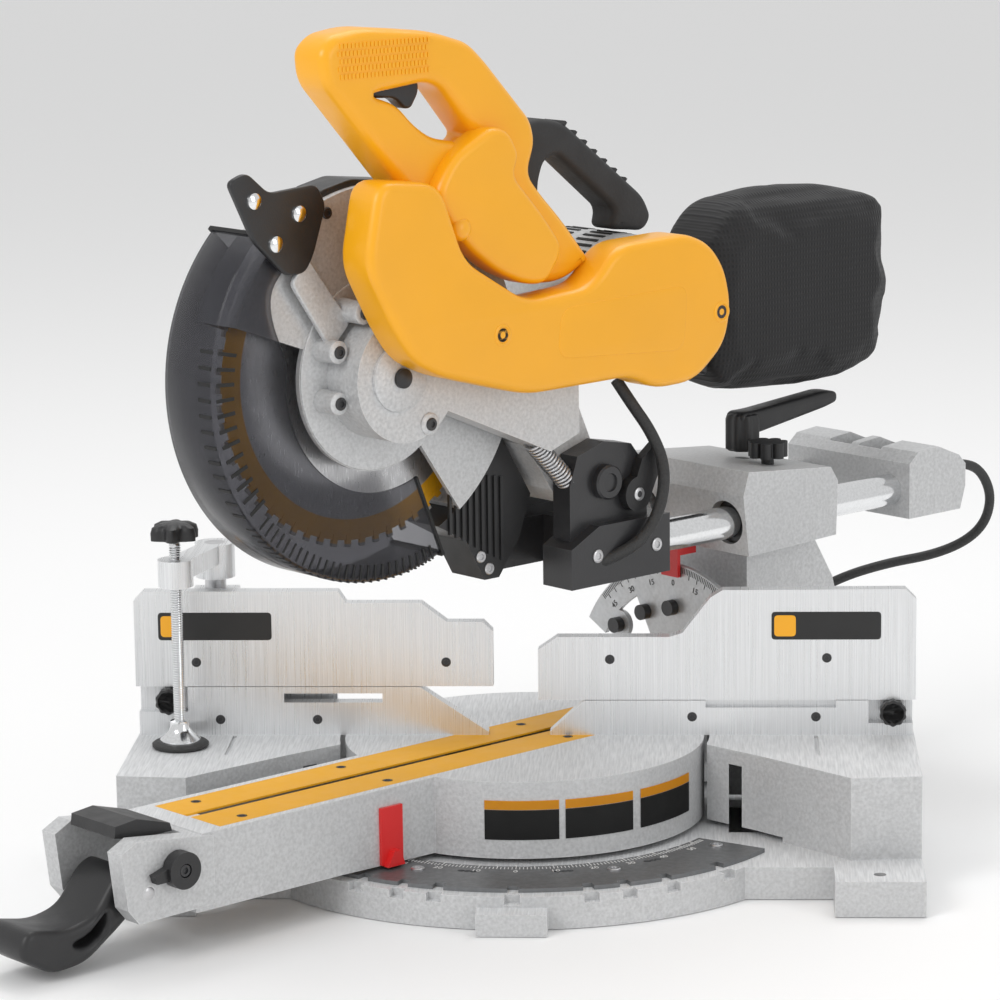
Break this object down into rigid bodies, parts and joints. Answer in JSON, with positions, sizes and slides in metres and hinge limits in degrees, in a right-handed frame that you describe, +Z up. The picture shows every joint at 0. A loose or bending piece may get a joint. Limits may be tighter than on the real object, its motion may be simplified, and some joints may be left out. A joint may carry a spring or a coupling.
{
  "type": "sliding compound mitre saw",
  "caption": "Sliding compound mitre saw with a tilting head on guide rails, a turntable with a long arm, split fences, a blade with a clear guard and a dust bag.",
  "frame": {"origin": "turntable's pivot axis at the underside of the base's feet, which is the centre of the four bench bolt holes", "axes": "+X to the right along the fence, +Y away from the user behind the fence, +Z up"},
  "size_m": [0.7264, 0.8411, 0.626],
  "materials": {
    "cast": "satin cast",
    "machined": "milled",
    "steel": "brushed",
    "dark_steel": "satin",
    "chrome": "polished",
    "yellow": "moulded",
    "kerf_yellow": "moulded",
    "black": "moulded",
    "black_metal": "satin",
    "red": "moulded",
    "smoke": "clear smoked",
    "fabric": "woven",
    "rubber": "matt",
    "brass": "satin"
  },
  "bodies": {
    "base": {"base_casting": "cast", "mitre_scale_plate": "dark_steel", "left_fixed_fence": "machined", "right_fixed_fence": "machined", "turntable_pivot": "steel"},
    "left_fence": {"left_sliding_fence": "machined", "clamp_post": "steel", "clamp_arm": "machined"},
    "right_fence": {"right_sliding_fence": "machined"},
    "clamp_screw": {"clamp_screw": "steel", "clamp_foot": "chrome"},
    "left_knob": {"left_fence_knob": "black"},
    "right_knob": {"right_fence_knob": "black"},
    "turntable": {"turntable": "cast", "kerf_plates": "kerf_yellow", "mitre_pointer": "red", "lock_lever_pin": "steel", "bevel_shaft": "steel", "bevel_scale": "machined", "bevel_stop_screws": "black_metal"},
    "lock_lever": {"mitre_lock_lever": "black"},
    "detent_button": {"detent_button": "black"},
    "override_dial": {"detent_override_dial": "black"},
    "bevel_group": {"bevel_housing": "cast", "rail_bushes": "brass", "bevel_pointer": "red"},
    "bevel_lever": {"bevel_lock_lever": "black"},
    "slide_knob": {"slide_lock_knob": "black"},
    "slide_carriage": {"guide_rails": "chrome", "carriage": "black_metal", "rear_bracket": "cast", "chop_pivot_shaft": "steel", "return_spring": "steel", "strain_relief": "rubber", "power_cord": "rubber", "cord_coil": "rubber", "cord_tie": "black", "cord_plug": "black", "cable_loop": "rubber"},
    "grooving_stop": {"grooving_stop": "black"},
    "saw_head": {"upper_guard": "cast", "gear_case": "cast", "drive_belt": "rubber", "motor_housing": "cast", "motor_end_cap": "yellow", "belt_cover": "yellow", "handle_right_half": "yellow", "handle_left_half": "yellow", "carry_handle": "black", "guard_link": "black", "dust_chute": "black", "dust_tube": "black", "dust_bag": "fabric"},
    "blade": {"blade": "steel", "blade_spindle": "steel", "blade_clamp": "steel"},
    "idler": {"idler_shaft": "steel"},
    "armature": {"motor_armature": "steel"},
    "lower_guard": {"lower_guard": "smoke"},
    "trigger": {"trigger": "black"}
  },
  "joints": [
    {"name": "mitre", "type": "hinge", "parent": "base", "child": "turntable", "pos_m": [0, 0, 0.085], "axis": [0, 0, -1], "range_deg": [-96, 5]},
    {"name": "bevel", "type": "hinge", "parent": "turntable", "child": "bevel_group", "pos_m": [0.14142, 0.14142, 0.085], "axis": [-0.7071, -0.7071, 0], "range_deg": [-19, 28]},
    {"name": "head_slide", "type": "slide", "parent": "bevel_group", "child": "slide_carriage", "axis": [-0.7071, -0.7071, 0], "range_m": [-0.073, 0.075]},
    {"name": "chop", "type": "hinge", "parent": "slide_carriage", "child": "saw_head", "pos_m": [0.02475, 0.02475, 0.28], "axis": [0.7071, -0.7071, 0], "range_deg": [0, 50]},
    {"name": "blade_spin", "type": "hinge", "parent": "saw_head", "child": "blade", "pos_m": [-0.1096, -0.1096, 0.38], "axis": [0.7071, -0.7071, 0], "continuous": true},
    {"name": "idler_spin", "type": "hinge", "parent": "saw_head", "child": "idler", "pos_m": [-0.07566, -0.07566, 0.398], "axis": [0.7071, -0.7071, 0], "continuous": true},
    {"name": "motor_spin", "type": "hinge", "parent": "saw_head", "child": "armature", "pos_m": [0.05303, 0.05303, 0.405], "axis": [0.7071, -0.7071, 0], "continuous": true},
    {"name": "lower_guard_lift", "type": "hinge", "parent": "saw_head", "child": "lower_guard", "pos_m": [-0.1096, -0.1096, 0.38], "axis": [-0.7071, 0.7071, 0], "range_deg": [0, 130]},
    {"name": "trigger_pull", "type": "slide", "parent": "saw_head", "child": "trigger", "axis": [0, 0, 1], "range_m": [0, 0.005], "stiffness_N_per_m": 500},
    {"name": "mitre_lock", "type": "hinge", "parent": "turntable", "child": "lock_lever", "pos_m": [-0.27294, -0.27294, 0.053], "axis": [-0.7071, 0.7071, 0], "range_deg": [0, 25]},
    {"name": "detent_press", "type": "slide", "parent": "turntable", "child": "detent_button", "axis": [0, 0, -1], "range_m": [0, 0.004], "stiffness_N_per_m": 600},
    {"name": "detent_override", "type": "hinge", "parent": "turntable", "child": "override_dial", "pos_m": [-0.22062, -0.29133, 0.066], "axis": [0.7071, -0.7071, 0], "range_deg": [-5, 85]},
    {"name": "bevel_lock", "type": "hinge", "parent": "bevel_group", "child": "bevel_lever", "pos_m": [0.16405, 0.16405, 0.29], "axis": [0, 0, 1], "range_deg": [-60, 20]},
    {"name": "slide_lock", "type": "hinge", "parent": "bevel_group", "child": "slide_knob", "pos_m": [0.18314, 0.13506, 0.275], "axis": [0, 0, 1], "range_deg": [0, 180]},
    {"name": "grooving_stop", "type": "hinge", "parent": "slide_carriage", "child": "grooving_stop", "pos_m": [0.08273, 0.00495, 0.268], "axis": [0.7071, -0.7071, 0], "range_deg": [-40, 0]},
    {"name": "left_fence_slide", "type": "slide", "parent": "base", "child": "left_fence", "axis": [-1, 0, 0], "range_m": [0, 0.145]},
    {"name": "right_fence_slide", "type": "slide", "parent": "base", "child": "right_fence", "axis": [1, 0, 0], "range_m": [0, 0.1]},
    {"name": "left_fence_lock", "type": "hinge", "parent": "base", "child": "left_knob", "pos_m": [-0.266, 0, 0.112], "axis": [0, 1, 0], "range_deg": [0, 180]},
    {"name": "right_fence_lock", "type": "hinge", "parent": "base", "child": "right_knob", "pos_m": [0.274, 0, 0.103], "axis": [0, 1, 0], "range_deg": [0, 180]},
    {"name": "clamp_screw_travel", "type": "slide", "parent": "left_fence", "child": "clamp_screw", "axis": [0, 0, 1], "range_m": [0, 0.06]}
  ],
  "couplings": [
    {"joint": "idler_spin", "follows": "blade_spin", "ratio": -3.5},
    {"joint": "motor_spin", "follows": "blade_spin", "ratio": -5.6},
    {"joint": "lower_guard_lift", "follows": "chop", "ratio": 2.6}
  ]
}
